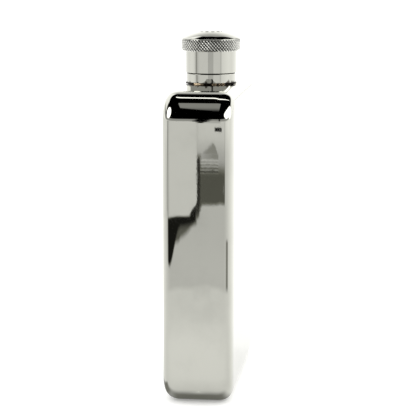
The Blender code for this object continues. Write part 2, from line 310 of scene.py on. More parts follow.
def finish_mesh(name, points, faces, normals=None, grooves=None):
    """A mesh object from points, faces and, where given, a normal for each
    corner of each face. A corner whose normal is None keeps a plain one.
    grooves gives how deep each point is cut in, in millimetres."""
    mesh = bpy.data.meshes.new(name)
    mesh.from_pydata(points, [], faces)
    mesh.shade_smooth()
    if normals:
        flat = [normal or (0.0, 0.0, 0.0) for corners in normals for normal in corners]
        mesh.normals_split_custom_set(flat)
    if grooves:
        mesh.attributes.new("groove", "FLOAT", "POINT").data.foreach_set("value", grooves)
    mesh.validate()
    item = bpy.data.objects.new(name, mesh)
    bpy.context.scene.collection.objects.link(item)
    return item


def rounded_profile(corners, arc_steps=6):
    """A closed turned profile from (radius, height, rounding) corners that run
    down its outer side. Returns (r, z, normal before, normal after) entries."""
    spots = [mathutils.Vector(corner[:2]) for corner in corners]
    run = []
    for i, spot in enumerate(spots):
        rounding = corners[i][2]
        into = (spot - spots[i - 1]).normalized()
        onward = (spots[(i + 1) % len(spots)] - spot).normalized()
        normal_in = mathutils.Vector((-into.y, into.x))
        normal_out = mathutils.Vector((-onward.y, onward.x))
        if rounding == 0:
            run.append((spot.x, spot.y, tuple(normal_in), tuple(normal_out)))
            continue
        convex = 1 if into.cross(onward) < 0 else -1
        reach = rounding * math.tan(into.angle(onward) / 2)
        centre = spot - into * reach - normal_in * rounding * convex
        for step in range(arc_steps + 1):
            normal = normal_in.slerp(normal_out, step / arc_steps)
            point = centre + normal * rounding * convex
            run.append((point.x, point.y, tuple(normal), tuple(normal)))
    return run


def turned_points(run, base, shift):
    """A turned piece's points, how far each was shifted in millimetres, and
    the points' indices around each entry of its run."""
    points = []
    grooves = []
    index = []
    for r, z, _, _ in run:
        if r < ON_AXIS:
            index.append([len(points)] * TURNED_STEPS)
            points.append((0.0, 0.0, base + z))
            grooves.append(0.0)
            continue
        row = []
        for step in range(TURNED_STEPS):
            angle = math.tau * step / TURNED_STEPS
            radius, height = shift(angle, r, z) if shift else (r, z)
            row.append(len(points))
            points.append((radius * math.cos(angle), radius * math.sin(angle), base + height))
            grooves.append(math.hypot(radius - r, height - z) / MM)
        index.append(row)
    return points, grooves, index


def turned(name, run, base, closed=True, shift=None):
    """A turned mesh from a profile run. Each entry is (r, z, normal before,
    normal after), with z above base. shift(angle, r, z) may move a point."""
    points, grooves, index = turned_points(run, base, shift)
    faces = []
    normals = []
    count = len(run)
    for i in range(count if closed else count - 1):
        j = (i + 1) % count
        for step in range(TURNED_STEPS):
            following = (step + 1) % TURNED_STEPS
            corners = {}
            for row, normal, at in (
                (i, run[i][3], step),
                (j, run[j][2], step),
                (j, run[j][2], following),
                (i, run[i][3], following),
            ):
                corners.setdefault(index[row][at], (normal, math.tau * at / TURNED_STEPS))
            if len(corners) < 3:
                continue
            faces.append(list(corners))
            face_normals = []
            for (out, up), angle in corners.values():
                face_normals.append((out * math.cos(angle), out * math.sin(angle), up))
            normals.append(face_normals)
    if not shift:
        return finish_mesh(name, points, faces, normals)
    item = finish_mesh(name, points, faces, grooves=grooves)
    item.data.set_sharp_from_angle(angle=TURNED_SHARP_ANGLE)
    return item


def tube(name, base, outer, inner, top, bottom, roundings):
    """A turned tube with rounded edges."""
    spots = [(outer, top), (outer, bottom), (inner, bottom), (inner, top)]
    corners = [(*spot, rounding) for spot, rounding in zip(spots, roundings)]
    return turned(name, rounded_profile(corners), base)


def thread_ridge(wall, outward, start_turn, turns, base):
    """Points and faces of a helical ridge with a rounded crest, which stands
    out of a wall and fades out at both ends."""
    points = []
    faces = []
    count = round(turns * RIDGE_STEPS)
    flank = [(-RIDGE_BURIED, RIDGE_FOOT_SHARE), *RIDGE_FLANK]
    section = [(out, -width) for out, width in flank] + [(out, width) for out, width in flank[::-1]]
    for step in range(count + 1):
        turn = step / RIDGE_STEPS
        grown = min(1.0, turn / FADE_TURNS, (turns - turn) / FADE_TURNS)
        grown = grown * grown * (3 - 2 * grown)
        angle = math.tau * (turn + start_turn)
        height = base + THREAD_START + LEAD * turn
        for out, width in section:
            rise = out if out < 0 else out * THREAD_DEPTH * grown - RIDGE_END_SUNK * (1 - grown)
            radius = wall + outward * rise
            up = width * ROOT_WIDTH / 2
            points.append((radius * math.cos(angle), radius * math.sin(angle), height + up))
    wide = len(section)
    for step in range(count):
        for i in range(wide):
            j = (i + 1) % wide
            a, b = step * wide + i, step * wide + j
            quad = [a, b, b + wide, a + wide]
            faces.append(quad if outward > 0 else quad[::-1])
    first = list(range(wide))
    last = [count * wide + i for i in range(wide)]
    faces.append(first[::-1] if outward > 0 else first)
    faces.append(last if outward > 0 else last[::-1])
    return points, faces


def add_ridge(item, wall, outward, start_turn, turns, base):
    """Joins a thread ridge to a turned piece."""
    points, faces = thread_ridge(wall, outward, start_turn, turns, base)
    ridge = finish_mesh(item.name + "_ridge", points, faces)
    ridge.data.set_sharp_from_angle(angle=RIDGE_SHARP_ANGLE)
    with bpy.context.temp_override(active_object=item, selected_editable_objects=[item, ridge]):
        bpy.ops.object.join()


def body_outline(inset, half_width, height):
    """(x, z, direction x, direction z) around the body, seen from the front,
    drawn in by an inset. The top's straight run has a point on either side of
    the neck's opening."""
    radius = CORNER_RADIUS - inset
    right = half_width - CORNER_RADIUS
    centres = [
        (right, CORNER_RADIUS),
        (right, height - CORNER_RADIUS),
        (-right, height - CORNER_RADIUS),
        (-right, CORNER_RADIUS),
    ]
    points = []
    for corner, (x, z) in enumerate(centres):
        for step in range(CORNER_STEPS + 1):
            angle = math.pi / 2 * (corner - 1 + step / CORNER_STEPS)
            out, up = math.cos(angle), math.sin(angle)
            points.append((x + radius * out, z + radius * up, out, up))
        if corner == 1:
            for x_edge in (NECK_OPENING_HALF, -NECK_OPENING_HALF):
                points.append((x_edge, height - inset, 0.0, 1.0))
    return points


def body_sections(half_depth):
    """(depth, inset, outward part and depth part of the normal) from the middle
    plane to the broad face."""
    edge_depth = half_depth - FLAT_HALF_DEPTH
    sections = [(0.0, 0.0, 1.0, 0.0)]
    for step in range(EDGE_STEPS + 1):
        angle = math.pi / 2 * step / EDGE_STEPS
        across = math.sin(angle) ** (2 / EDGE_POWER)
        inset = 1 - abs(math.cos(angle)) ** (2 / EDGE_POWER)
        steep = math.pi / 2
        if step < EDGE_STEPS:
            slope = EDGE_INSET / edge_depth * math.tan(angle) ** (2 - 2 / EDGE_POWER)
            steep = math.atan(slope)
        depth = FLAT_HALF_DEPTH + edge_depth * across
        sections.append((depth, EDGE_INSET * inset, math.cos(steep), math.sin(steep)))
    return sections


def body_skin(side, half_width, half_depth, height):
    """The points, normals and faces of one half's outer skin. Its normals are
    worked out, so that the flat runs mirror as flat."""
    points = []
    point_normals = []
    rings = []
    for depth, inset, outward, across in body_sections(half_depth):
        ring = []
        for x, z, out_x, out_z in body_outline(inset, half_width, height):
            ring.append(len(points))
            points.append((x, side * depth, z))
            point_normals.append((out_x * outward, side * across, out_z * outward))
        rings.append(ring)
    count = len(rings[0])
    opening = 2 * (CORNER_STEPS + 1)
    faces = []
    for level, (near, far) in enumerate(zip(rings, rings[1:])):
        for i in range(count):
            if level == 0 and i == opening:
                continue
            j = (i + 1) % count
            quad = [near[i], near[j], far[j], far[i]]
            faces.append(quad if side < 0 else quad[::-1])
    faces.append(rings[-1] if side < 0 else rings[-1][::-1])
    return points, point_normals, faces


def open_edges(faces):
    """The edges that only one face has."""
    edges = {}
    for face in faces:
        for i, j in zip(face, face[1:] + face[:1]):
            if (j, i) in edges:
                del edges[(j, i)]
            else:
                edges[(i, j)] = True
    return list(edges)


def body_half(name, side, half_width, half_depth, height):
    """One half of the body's sheet: an outer and an inner skin, joined along
    their open edges."""
    points, point_normals, outer = body_skin(side, half_width, half_depth, height)
    shift = len(points)
    inner_points = []
    for point, normal in zip(points, point_normals):
        inner_points.append(tuple(p - BODY_WALL * n for p, n in zip(point, normal)))
    faces = outer + [[i + shift for i in face[::-1]] for face in outer]
    normals = [[point_normals[i] for i in face] for face in outer]
    for face in outer:
        normals.append([tuple(-n for n in point_normals[i]) for i in face[::-1]])
    for i, j in open_edges(outer):
        faces.append([j, i, i + shift, j + shift])
        normals.append([None] * 4)
    return finish_mesh(name, points + inner_points, faces, normals)


def knurl_sink(column, row):
    """How far the knurl is cut at a point, from 0 on a crest to 1 in a groove."""
    along = column / KNURL_SAMPLES
    up = row / KNURL_SAMPLES
    deep = 1 - abs(2 * ((along - up) % 1) - 1)
    shallow = 1 - abs(2 * ((along + up) % 1) - 1)
    deep_rise = max(0.0, deep - KNURL_VALLEY) / KNURL_FLANK
    return 1 - min(deep_rise, SHALLOW_FLOOR + SHALLOW_SLOPE * shallow, 1.0)


def rim_levels(low, high, crest, inner):
    """(radius, height, depth of the knurl) from the rim's top to its bottom:
    plain rows, knurled rows and plain rows again."""
    diamond = math.tau * crest / KNURL_COUNT / math.tan(KNURL_ANGLE)
    band_low, band_high = low + KNURL_START, high - KNURL_STOP
    rows = round((band_high - band_low) / (diamond / KNURL_SAMPLES))
    middle, half = (low + high) / 2, (high - low) / 2
    lip = crest - RIM_LIP
    levels = [(inner, high, 0.0), (lip, high, 0.0)]
    for row in range(rows + 1):
        z = band_high - (band_high - band_low) * row / rows
        share = (z - middle) / half
        barrel = BARREL_BELOW if share < 0 else BARREL_ABOVE
        fade = min(1.0, (1 - abs(share)) * RUNOUT_SLOPE)
        depth = KNURL_DEPTH * (RUNOUT_DEPTH + (1 - RUNOUT_DEPTH) * fade)
        levels.append((crest - barrel * abs(share) ** BARREL_POWER, z, depth))
    return levels + [(lip, low, 0.0), (inner, low, 0.0)]


def knurled_rim(name, base, low, high, crest, inner):
    """The grip band: two families of crossed grooves cut into a barrelled band,
    with plain lips above and below."""
    columns = KNURL_COUNT * KNURL_SAMPLES
    levels = rim_levels(low, high, crest, inner)
    points = []
    grooves = []
    for level, (radius, z, depth) in enumerate(levels):
        for column in range(columns):
            sink = knurl_sink(column, level - RIM_PLAIN_ROWS) if depth else 0.0
            r = radius - depth * sink
            angle = math.tau * column / columns
            points.append((r * math.cos(angle), r * math.sin(angle), base + z))
            grooves.append(sink * KNURL_DEPTH / MM)
    knurled_rows = len(levels) - 2 * RIM_PLAIN_ROWS - 1
    faces = []
    for level in range(len(levels)):
        below = (level + 1) % len(levels)
        row = level - RIM_PLAIN_ROWS
        for column in range(columns):
            beside = (column + 1) % columns
            a, b = level * columns + column, below * columns + column
            c, d = below * columns + beside, level * columns + beside
            if not 0 <= row < knurled_rows:
                faces.append([a, b, c, d])
            elif (column - row) % KNURL_SAMPLES == 0:
                faces += [[a, b, c], [a, c, d]]
            else:
                faces += [[a, b, d], [b, c, d]]
    item = finish_mesh(name, points, faces, grooves=grooves)
    item.data.shade_flat()
    return item


def crown_stamp(angle, r, z):
    """Sinks the crown's ring of short stamped dashes into its top."""
    along = (angle / math.tau * STAMP_COUNT) % 1
    within = min(along, 1 - along) / STAMP_SHARE
    aside = abs(r - STAMP_RADIUS) / (STAMP_WIDTH / 2)
    if z < 0 or within >= 1 or aside >= 1:
        return r, z
    end = min(1.0, STAMP_END_SLOPE * (1 - within))
    side = min(1.0, STAMP_SIDE_SLOPE * (1 - aside))
    return r, z - STAMP_DEPTH * end * side


def crown_run(top, bottom, radius, spigot_bottom):
    """The crown's profile: a spherical dome, a rounded edge, a short plain lip
    and the spigot that enters the skirt."""
    run = []
    tilt_end = math.asin((radius - CROWN_EDGE) / (CROWN_SPHERE - CROWN_EDGE))
    for step in range(CROWN_STEPS + 1):
        tilt = tilt_end * step / CROWN_STEPS
        out, up = math.sin(tilt), math.cos(tilt)
        run.append((CROWN_SPHERE * out, top - CROWN_SPHERE * (1 - up), (out, up), (out, up)))
    centre = (radius - CROWN_EDGE, run[-1][1] - CROWN_EDGE * math.cos(tilt_end))
    for step in range(1, CROWN_EDGE_STEPS + 1):
        angle = (math.pi / 2 - tilt_end) * (1 - step / CROWN_EDGE_STEPS)
        out, up = math.cos(angle), math.sin(angle)
        point = (centre[0] + CROWN_EDGE * out, centre[1] + CROWN_EDGE * up)
        run.append((*point, (out, up), (out, up)))
    run.append((radius, bottom, (1, 0), (0, -1)))
    run.append((SPIGOT_RADIUS, bottom, (0, -1), (1, 0)))
    run.append((SPIGOT_RADIUS, spigot_bottom, (1, 0), (0, -1)))
    run.append((0.0, spigot_bottom, (0, -1), (0, -1)))
    return run


def node(tree, kind, inputs=None, **settings):
    """A shader node with its settings, and its inputs set or linked."""
    made = tree.nodes.new(kind)
    for key, value in settings.items():
        setattr(made, key, value)
    for key, value in (inputs or {}).items():
        if isinstance(value, bpy.types.NodeSocket):
            tree.links.new(value, made.inputs[key])
        else:
            made.inputs[key].default_value = value
    return made


def maths(tree, operation, *values):
    """The output of a Math node on values or sockets."""
    inputs = dict(enumerate(values))
    return node(tree, "ShaderNodeMath", inputs, operation=operation).outputs[0]


def remap(tree, value, low, high, to_low=0.0, to_high=1.0, smooth=True):
    """A value carried from one range to another, and held at its ends."""
    inputs = {"Value": value, "From Min": low, "From Max": high}
    inputs.update({"To Min": to_low, "To Max": to_high})
    kind = "SMOOTHSTEP" if smooth else "LINEAR"
    made = node(tree, "ShaderNodeMapRange", inputs, interpolation_type=kind)
    return made.outputs["Result"]


def blend(tree, share, low, high):
    """A colour between two, by a share from 0 to 1."""
    mix = node(tree, "ShaderNodeMix", data_type="RGBA")
    for key, value in {"Factor": share, "A": low, "B": high}.items():
        socket = next(s for s in mix.inputs if s.name == key and s.enabled)
        if isinstance(value, bpy.types.NodeSocket):
            tree.links.new(value, socket)
        else:
            socket.default_value = value
    return next(s for s in mix.outputs if s.enabled)


def band(tree, value, low, high, soft):
    """A share that is 1 between two values, with soft ends."""
    rising = remap(tree, value, low - soft, low + soft)
    falling = remap(tree, value, high - soft, high + soft, 1.0, 0.0)
    return maths(tree, "MULTIPLY", rising, falling)


def patch(tree, across, across_strip, along, along_strip):
    """A share that is 1 where two coordinates both lie in their strips."""
    return product(tree, band(tree, across, *across_strip), band(tree, along, *along_strip))


def over(tree, under, share, level):
    """A level laid over another by a share from 0 to 1."""
    gain = maths(tree, "SUBTRACT", level, under)
    return maths(tree, "MULTIPLY_ADD", gain, share, under)


def product(tree, *shares):
    """All shares multiplied."""
    result = shares[0]
    for share in shares[1:]:
        result = maths(tree, "MULTIPLY", result, share)
    return result


def oval(tree, across, centre, half_width, upward, middle, half_height):
    """A share that is 1 inside an oval drawn over two coordinates."""
    across = maths(tree, "MULTIPLY_ADD", across, 1 / half_width, -centre / half_width)
    upward = maths(tree, "MULTIPLY_ADD", upward, 1 / half_height, -middle / half_height)
    spread = maths(tree, "MULTIPLY_ADD", across, across, maths(tree, "MULTIPLY", upward, upward))
    return remap(tree, spread, *OVAL_EDGE)


def degrees_around(tree, x, y):
    """The angle of (x, y) in degrees, from 0 along x towards y."""
    return maths(tree, "DEGREES", maths(tree, "ARCTAN2", y, x))


def new_material(name):
    """A material, its node tree, its Principled shader and a socket with the
    place of the shaded point on the object."""
    material = bpy.data.materials.new(name)
    material.use_nodes = True
    tree = material.node_tree
    place = node(tree, "ShaderNodeTexCoord").outputs["Object"]
    return material, tree, tree.nodes["Principled BSDF"], place


def surface(tree, shader, colour, gloss, bump=None, metallic=1.0):
    """Gives a shader its colour, its roughness and, where given, its bump."""
    tree.links.new(colour, shader.inputs["Base Color"])
    tree.links.new(gloss, shader.inputs["Roughness"])
    shader.inputs["Metallic"].default_value = metallic
    if bump:
        tree.links.new(bump.outputs[0], shader.inputs["Normal"])


def noise(tree, place, scale, detail=2.0, stretch=None, turn=None, **inputs):
    """A Noise texture on object coordinates, optionally turned and stretched."""
    vector = place
    if stretch or turn:
        mapping = {"Vector": place, "Scale": stretch or (1, 1, 1), "Rotation": turn or (0, 0, 0)}
        vector = node(tree, "ShaderNodeMapping", mapping).outputs[0]
    values = {"Vector": vector, "Scale": scale, "Detail": detail}
    values.update(inputs)
    return node(tree, "ShaderNodeTexNoise", values).outputs["Fac"]


def scratches(tree, place, turn, fineness, rarity):
    """A mask of fine scattered scratches that run one way."""
    lines = noise(tree, place, scale=1.0, stretch=(fineness, 40, 40), turn=turn)
    patches = noise(tree, place, scale=90.0, detail=1.0)
    line = remap(tree, lines, rarity, rarity + 0.06)
    where = remap(tree, patches, 0.48, 0.62)
    return maths(tree, "MULTIPLY", line, where)


def stains_and_shade(tree, place, colour, cut, stained, gap_dark):
    """A metal's colour under what lies on it and under painted shade: dark polish residue and
    painted shade in its grooves, heat stains that fade out upwards, and painted shade that sets in
    upwards at the gap under the cap."""
    if cut:
        depth = node(tree, "ShaderNodeAttribute", attribute_name="groove").outputs["Fac"]
        # Cut grooves are painted dark: polish residue together with painted shade.
        colour = blend(tree, remap(tree, depth, 0.08, 0.28, 0.0, 0.94), colour, RESIDUE_AND_SHADE)
    if stained or gap_dark:
        height = node(tree, "ShaderNodeSeparateXYZ", {0: place}).outputs[2]
    if stained:
        runs = noise(tree, place, scale=700.0, detail=3.0, stretch=(1, 1, 0.3))
        tide = maths(tree, "ADD", remap(tree, height, *stained, 0.24, -0.14), runs)
        colour = blend(tree, remap(tree, tide, 0.60, 0.74, 0.0, 0.85), colour, HEAT_STAIN)
    if gap_dark:
        # Painted shade at the gap under the cap, setting in upwards.
        colour = blend(tree, remap(tree, height, *gap_dark, 0.0, 0.97), colour, GAP_DARK)
    return colour


def polished_metal(name, tone=STEEL, roughness=MIRROR_ROUGHNESS, wave=TURNED_WAVE, cut=False,
                   stained=None, gap_dark=None):
    """Mirror-polished metal: smudged gloss, fine hand scratches, and the very shallow waviness that
    hand polishing leaves. Where it is cut, its grooves are painted dark, as polish residue and as
    painted shade. stained gives the heights between which heat stains fade out, and gap_dark the
    heights between which painted shade sets in."""
    material, tree, shader, place = new_material(name)
    smudge = noise(tree, place, scale=70.0, detail=4.0, Roughness=0.6)
    first = scratches(tree, place, (0.3, 0.9, 0.2), fineness=2600, rarity=0.64)
    second = scratches(tree, place, (1.2, 0.2, 2.1), fineness=2100, rarity=0.65)
    marks = maths(tree, "MAXIMUM", first, second)
    gloss = remap(tree, smudge, 0.35, 0.75, roughness, roughness * 2.2)
    gloss = maths(tree, "ADD", gloss, maths(tree, "MULTIPLY", marks, 0.10))
    dark = tuple(value * 0.93 for value in tone)
    colour = blend(tree, remap(tree, smudge, 0.4, 0.8), (*tone, 1), (*dark, 1))
    colour = stains_and_shade(tree, place, colour, cut, stained, gap_dark)
    swell = noise(tree, place, scale=38.0, detail=1.0)
    low_bump = node(tree, "ShaderNodeBump", {"Height": swell, "Distance": wave})
    fine = noise(tree, place, scale=900.0)
    grain = maths(tree, "ADD", fine, maths(tree, "MULTIPLY", marks, -1.5))
    inputs = {"Height": grain, "Strength": 0.05, "Distance": 0.01 * MM}
    inputs["Normal"] = low_bump.outputs[0]
    surface(tree, shader, colour, gloss, node(tree, "ShaderNodeBump", inputs))
    return material


def turned_metal(name, tone, roughness, gap_dark=None):
    """Machined metal with fine tool lines around the axis. gap_dark gives the heights between which
    a dark band at the foot fades out upwards."""
    material, tree, shader, place = new_material(name)
    rings = noise(tree, place, scale=1.0, detail=3.0, stretch=(30, 30, 9000))
    stain = noise(tree, place, scale=240.0, detail=3.0)
    gloss = remap(tree, rings, 0.3, 0.7, roughness * 0.7, roughness * 1.4)
    dark = tuple(value * 0.72 for value in tone)
    colour = blend(tree, remap(tree, stain, 0.45, 0.75), (*tone, 1), (*dark, 1))
    if gap_dark:
        height = node(tree, "ShaderNodeSeparateXYZ", {0: place}).outputs[2]
        colour = blend(tree, remap(tree, height, *gap_dark, 0.97, 0.0), colour, GAP_DARK)
    bump = node(tree, "ShaderNodeBump", {"Height": rings, "Strength": 0.35, "Distance": 0.02 * MM})
    surface(tree, shader, colour, gloss, bump)
    return material


def braze_metal(name):
    """The bead of braze: brassy in patches where the braze is bare, mostly in two stretches that
    are painted brassier as highlights, and nearly black elsewhere."""
    material, tree, shader, place = new_material(name)
    patches = noise(tree, place, scale=330.0, detail=3.0)
    across = node(tree, "ShaderNodeSeparateXYZ", {0: place}).outputs[1]
    # Two stretches across the view are painted brassier: painted highlights.
    long_highlight = band(tree, across, -6.4 * MM, -1.6 * MM, 0.8 * MM)
    short_highlight = band(tree, across, 3.6 * MM, 5.8 * MM, 0.6 * MM)
    bare_and_highlit = maths(tree, "MULTIPLY_ADD", long_highlight, 0.17, patches)
    bare_and_highlit = maths(tree, "MULTIPLY_ADD", short_highlight, 0.2, bare_and_highlit)
    colour = blend(tree, remap(tree, bare_and_highlit, 0.54, 0.64), SOOT, BRASS)
    surface(tree, shader, colour, remap(tree, patches, 0.4, 0.6, 0.5, 0.28))
    return material


def seal_rubber(name):
    """The seal: matte and faintly mottled."""
    material, tree, shader, place = new_material(name)
    mottle = noise(tree, place, scale=900.0, detail=4.0)
    colour = blend(tree, mottle, RUBBER_DARK, RUBBER_PALE)
    gloss = remap(tree, mottle, 0.3, 0.7, 0.55, 0.8)
    bump = node(tree, "ShaderNodeBump", {"Height": mottle, "Strength": 0.4, "Distance": 0.05 * MM})
    surface(tree, shader, colour, gloss, bump, metallic=0.0)
    return material


def place_piece(piece, node_name, body, metal):
    """Gives a piece its material and its body, and hides the CAD node it stands for."""
    piece.data.materials.append(metal)
    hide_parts(node_name)
    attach(piece, body)


def build_body(metal):
    """The two half shells' skins. Returns the height of their flat top."""
    low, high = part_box("front_shell")
    for name, node_name, side in (
        ("front_skin", "front_shell", -1),
        ("rear_skin", "rear_shell", 1),
    ):
        skin = body_half(name, side, high.x, -low.y, high.z)
        place_piece(skin, node_name, "flask", metal)
    return high.z


def extent(node_name, base):
    """A round CAD piece's radius, and its top and bottom above the shoulder."""
    low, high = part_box(node_name)
    return high.x, high.z - base, low.z - base


def build_spout(base):
    """The threaded spout, with its rounded pouring lip."""
    _, top, bottom = extent("spout", base)
    spout = tube("spout_turned", base, SPOUT_CORE, SPOUT_BORE, top, bottom, SPOUT_ROUNDINGS)
    add_ridge(spout, SPOUT_CORE, 1, 0.0, SPOUT_THREAD_TURNS, base)
    # The spout is darker towards its foot, just above the collar.
    gap_dark = tuple(base + height for height in SPOUT_FOOT_DARK)
    metal = turned_metal("neck_metal", MACHINED_STEEL, 0.16, gap_dark=gap_dark)
    place_piece(spout, "spout", "flask", metal)


def build_collar(base):
    """The collar on the shoulder. Returns its radius."""
    radius, top, _ = extent("collar", base)
    top += COLLAR_RAISE
    collar = tube("collar_turned", base, radius, SPOUT_CORE, top, -COLLAR_SUNK, COLLAR_ROUNDINGS)
    stained = (base, base + COLLAR_STAIN_TOP)
    # The collar's top edge is painted dark as shade in the gap under the cap.
    gap_dark = tuple(base + top + height for height in COLLAR_GAP_SHADE)
    metal = polished_metal("collar_metal", stained=stained, gap_dark=gap_dark)
    place_piece(collar, "collar", "flask", metal)
    return radius


def build_bead(base, collar_radius):
    """The uneven bead of braze at the collar's foot."""

    def ragged(angle, r, z):
        """Lets the bead's edge wander, as melted braze does."""
        around = mathutils.Vector((math.cos(angle), math.sin(angle), WANDER_LIFT)) * WANDER_PACE
        finer = mathutils.noise.noise(around * WANDER_FINER)
        wander = mathutils.noise.noise(around) + WANDER_FINER_SHARE * finer
        away = max(0.0, r - collar_radius) / BEAD_REACH
        up = BEAD_WANDER_UP if z > BEAD_FOOT_HEIGHT else 0.0
        return r + wander * BEAD_WANDER_OUT * away, z + wander * up

    corners = [(collar_radius + out, z, rounding) for out, z, rounding in BEAD_CORNERS]
    run = rounded_profile(corners, BEAD_ARC_STEPS)
    bead = turned("braze_bead", run, base, shift=ragged)
    place_piece(bead, "braze_fillet", "flask", braze_metal("braze_metal"))


def build_skirt(base):
    """The cap's plain sleeve. Returns its radius."""
    radius, top, bottom = extent("cap_skirt", base)
    inner = radius - SKIRT_WALL
    skirt = tube("skirt_turned", base, radius, inner, top, bottom, SKIRT_ROUNDINGS)
    place_piece(skirt, "cap_skirt", "cap", polished_metal("skirt_metal"))
    return radius


def build_rim(base, skirt_radius):
    """The knurled rim, which reaches up to just under the crown. Returns the
    height of its CAD piece's top above the shoulder."""
    radius, top, bottom = extent("knurled_rim", base)
    rim = knurled_rim("knurl_cut", base, bottom, top + RIM_RAISE, radius, skirt_radius)
    # cut=True paints the knurl's grooves dark, as polish residue and painted shade.
    metal = polished_metal("knurl_metal", KNURL_LIT_STEEL, KNURL_ROUGHNESS, BODY_WAVE, cut=True)
    place_piece(rim, "knurled_rim", "cap", metal)
    return top


def build_crown(base, rim_top):
    """The domed crown with its stamped dashes."""
    radius, top, bottom = extent("cap_crown", base)
    run = crown_run(top, rim_top + CROWN_GAP, radius, bottom)
    crown = turned("crown_turned", run, base, closed=False, shift=crown_stamp)
    # cut=True paints the stamped dashes dark, as polish residue and painted shade.
    metal = polished_metal("crown_metal", cut=True)
    place_piece(crown, "cap_crown", "cap", metal)


def build_insert(base):
    """The closed cup inside the cap, with the female thread."""
    radius, top, bottom = extent("thread_insert", base)
    ceiling = top - INSERT_ROOF
    run = [
        (0.0, top, (0, 1), (0, 1)),
        (radius, top, (0, 1), (1, 0)),
        (radius, bottom, (1, 0), (0, -1)),
        (CAP_THREAD_ROOT, bottom, (0, -1), (-1, 0)),
        (CAP_THREAD_ROOT, ceiling, (-1, 0), (0, -1)),
        (0.0, ceiling, (0, -1), (0, -1)),
    ]
    insert = turned("insert_turned", run, base, closed=False)
    add_ridge(insert, CAP_THREAD_ROOT, -1, CAP_THREAD_OFFSET_TURNS, CAP_THREAD_TURNS, base)
    metal = turned_metal("insert_metal", MACHINED_STEEL, 0.2)
    place_piece(insert, "thread_insert", "cap", metal)


def dress_hidden(nodes):
    """Materials for the CAD pieces that stay: the seal, its washer and the ring
    inside the shoulder."""
    materials = {
        "seal_disc": seal_rubber("seal_rubber"),
        "seal_washer": seal_rubber("washer_fibre"),
        "neck_backing_ring": turned_metal("ring_metal", RING_STEEL, 0.35),
    }
    for name, material in materials.items():
        for slot in nodes[name].material_slots:
            slot.material = material


def build_camera():
    """The camera: a little above the cap, looking slightly down."""
    data = bpy.data.cameras.new("camera")
    data.lens = CAMERA_LENS
    data.sensor_width = CAMERA_SENSOR
    data.clip_end = CAMERA_CLIP_END
    camera = bpy.data.objects.new("camera", data)
    bpy.context.scene.collection.objects.link(camera)
    camera.location = (
        -CAMERA_DISTANCE * math.cos(CAMERA_AZIMUTH),
        -CAMERA_DISTANCE * math.sin(CAMERA_AZIMUTH),
        CAMERA_HEIGHT,
    )
    heading = CAMERA_AZIMUTH + CAMERA_YAW - math.pi / 2
    camera.rotation_euler = (math.pi / 2 - CAMERA_PITCH, 0, heading)
    bpy.context.scene.camera = camera


def wall_level(tree, azimuth, elevation):
    """The walls around the horizon: pale, dimmer above the table's end, and
    black over their top edge."""
    aside = maths(tree, "ABSOLUTE", azimuth)
    walls = remap(tree, aside, *WALL_SHADING)
    dusk = product(
        tree,
        remap(tree, aside, *DUSK_SIDES),
        remap(tree, elevation, *DUSK_FOOT),
        remap(tree, elevation, *DUSK_END),
    )
    doorway = product(tree, dusk, band(tree, azimuth, *DOORWAY))
    level = over(tree, over(tree, walls, dusk, DUSK_LEVEL), doorway, DOORWAY_LEVEL)
    level = over(tree, level, band(tree, azimuth, *CREVICE), 0.0)
    top = remap(tree, aside, *WALL_TOP)
    top = maths(tree, "MAXIMUM", top, remap(tree, azimuth, *WALL_TOP_LEFT))
    above = maths(tree, "SUBTRACT", elevation, top)
    return product(tree, level, remap(tree, above, *WALL_TOP_EDGE))


def add_backdrop(tree, level, x, y, z):
    """Lays the backdrop behind the flask over a level. It rises in an arch and
    dims upwards."""
    back = maths(tree, "MAXIMUM", x, 0.001)
    rise = maths(tree, "DIVIDE", z, back)
    aslant = maths(tree, "DIVIDE", y, back)
    left, right = remap(tree, aslant, *ARCH_LEFT), remap(tree, aslant, *ARCH_RIGHT)
    arch = maths(tree, "MINIMUM", left, right)
    inside = remap(tree, maths(tree, "SUBTRACT", rise, arch), *ARCH_EDGE)
    inside = product(tree, inside, remap(tree, x, *ARCH_BEHIND))
    return over(tree, level, inside, remap(tree, rise, *BACKDROP_GLOW))


def add_softboxes(tree, level, azimuth, elevation):
    """Lays the oval softboxes over a level. The foot of one is cut off straight."""
    foot = product(
        tree,
        remap(tree, azimuth, *SOFTBOX_CUT_TURN),
        remap(tree, elevation, *SOFTBOX_CUT_RISE),
    )
    uncut = maths(tree, "SUBTRACT", 1.0, foot)
    for centre, middle, half_turn, half_rise, lean in SOFTBOXES:
        straight = maths(tree, "MULTIPLY_ADD", elevation, -lean, azimuth)
        box = oval(tree, straight, centre - lean * middle, half_turn, elevation, middle, half_rise)
        level = over(tree, level, product(tree, box, uncut), SOFTBOX_LEVEL)
    return level


def add_ceiling_lights(tree, level, x, y, z):
    """Lays a bent lamp strip over a level and adds a dim window to it. Their
    places are measured on a ceiling one unit up."""
    ceiling = maths(tree, "MAXIMUM", z, 0.001)
    behind = maths(tree, "DIVIDE", x, ceiling)
    leftward = maths(tree, "DIVIDE", y, ceiling)
    lean = maths(tree, "MULTIPLY", maths(tree, "MAXIMUM", leftward, 0.0), LAMP_LEAN)
    bow = maths(tree, "MAXIMUM", maths(tree, "MULTIPLY", leftward, -1.0), 0.0)
    bow = maths(tree, "MULTIPLY", maths(tree, "POWER", bow, LAMP_BOW_POWER), LAMP_BOW)
    straight = maths(tree, "ADD", maths(tree, "ADD", behind, lean), bow)
    lamp = patch(tree, straight, LAMP_ACROSS, leftward, LAMP_ALONG)
    level = over(tree, level, lamp, LAMP_LEVEL)
    window = product(
        tree,
        band(tree, leftward, *WINDOW_ALONG),
        remap(tree, behind, *WINDOW_NEAR),
        remap(tree, behind, *WINDOW_END),
    )
    return maths(tree, "MULTIPLY_ADD", window, WINDOW_LEVEL, level)


